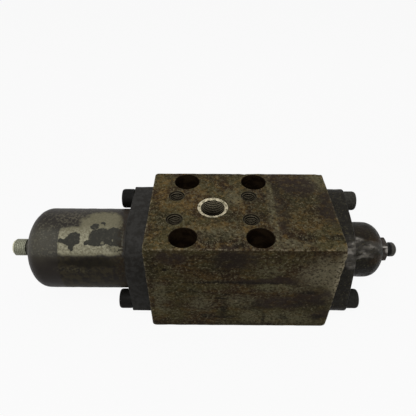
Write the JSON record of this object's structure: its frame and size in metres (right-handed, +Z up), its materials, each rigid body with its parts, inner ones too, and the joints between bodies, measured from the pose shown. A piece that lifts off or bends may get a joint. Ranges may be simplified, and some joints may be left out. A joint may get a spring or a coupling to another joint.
{
  "type": "hydraulic valve",
  "caption": "Block-shaped hydraulic spool valve with a long domed spring cover, an end cover with an adjustable stroke stop, a flange port on top and plain mounting holes.",
  "frame": {"origin": "centre of the four mounting holes on the block's underside", "axes": "+X along the spool axis from the spring cover to the end cover, +Y to the back, +Z up out of the flange face"},
  "size_m": [0.3188, 0.09, 0.09],
  "materials": {
    "block_iron": "machined, rusted and oil stained",
    "cover_iron": "charcoal paint worn to primer",
    "end_cover_iron": "oily dark casting",
    "black_screw": "black oxide",
    "zinc_steel": "yellowed zinc plate",
    "dark_steel": "dark oily thread",
    "nut_steel": "worn grey steel",
    "plain_steel": "turned steel",
    "spring_steel": "dark oiled wire",
    "ground_steel": "hardened and ground",
    "rubber": "matt black"
  },
  "bodies": {
    "housing": {"valve_body": "block_iron", "bottom_port_seal": "rubber", "spring_cover": "cover_iron", "spring_cover_screws": "black_screw", "spring_cover_seal": "rubber", "pilot_nipple": "zinc_steel", "nipple_seal": "rubber", "pilot_orifice": "plain_steel", "fixed_spring_plate": "plain_steel", "main_spring": "spring_steel", "end_cover": "end_cover_iron", "end_cover_screws": "black_screw", "end_cover_seal": "rubber"},
    "spool": {"control_spool": "ground_steel", "spool_orifice": "plain_steel", "spool_rod": "plain_steel", "moving_spring_plate": "plain_steel", "spring_shim": "plain_steel", "rod_nut": "plain_steel"},
    "stop_pad": {"stop_pad": "plain_steel"},
    "adjusting_screw": {"adjusting_screw": "dark_steel"},
    "lock_nut_seal": {"lock_nut_seal": "rubber"},
    "lock_nut": {"lock_nut": "nut_steel"}
  },
  "joints": [
    {"name": "spool_slide", "type": "slide", "parent": "housing", "child": "spool", "axis": [1, 0, 0], "range_m": [0, 0.008], "stiffness_N_per_m": 20000, "springref_m": -0.004, "deforming": ["main_spring"]},
    {"name": "stop_slide", "type": "slide", "parent": "housing", "child": "stop_pad", "axis": [1, 0, 0], "range_m": [-0.0035, 0.0035]},
    {"name": "screw_turn", "type": "hinge", "parent": "stop_pad", "child": "adjusting_screw", "pos_m": [0.12, 0, 0.045], "axis": [1, 0, 0], "range_deg": [-720, 720]},
    {"name": "nut_slide", "type": "slide", "parent": "housing", "child": "lock_nut_seal", "axis": [1, 0, 0], "range_m": [0, 0.00175]},
    {"name": "nut_turn", "type": "hinge", "parent": "lock_nut_seal", "child": "lock_nut", "pos_m": [0.1345, 0, 0.045], "axis": [1, 0, 0], "range_deg": [0, 360]}
  ],
  "couplings": [
    {"joint": "screw_turn", "follows": "stop_slide", "rad_per_m": 3590.4},
    {"joint": "nut_turn", "follows": "nut_slide", "rad_per_m": 3590.4}
  ]
}
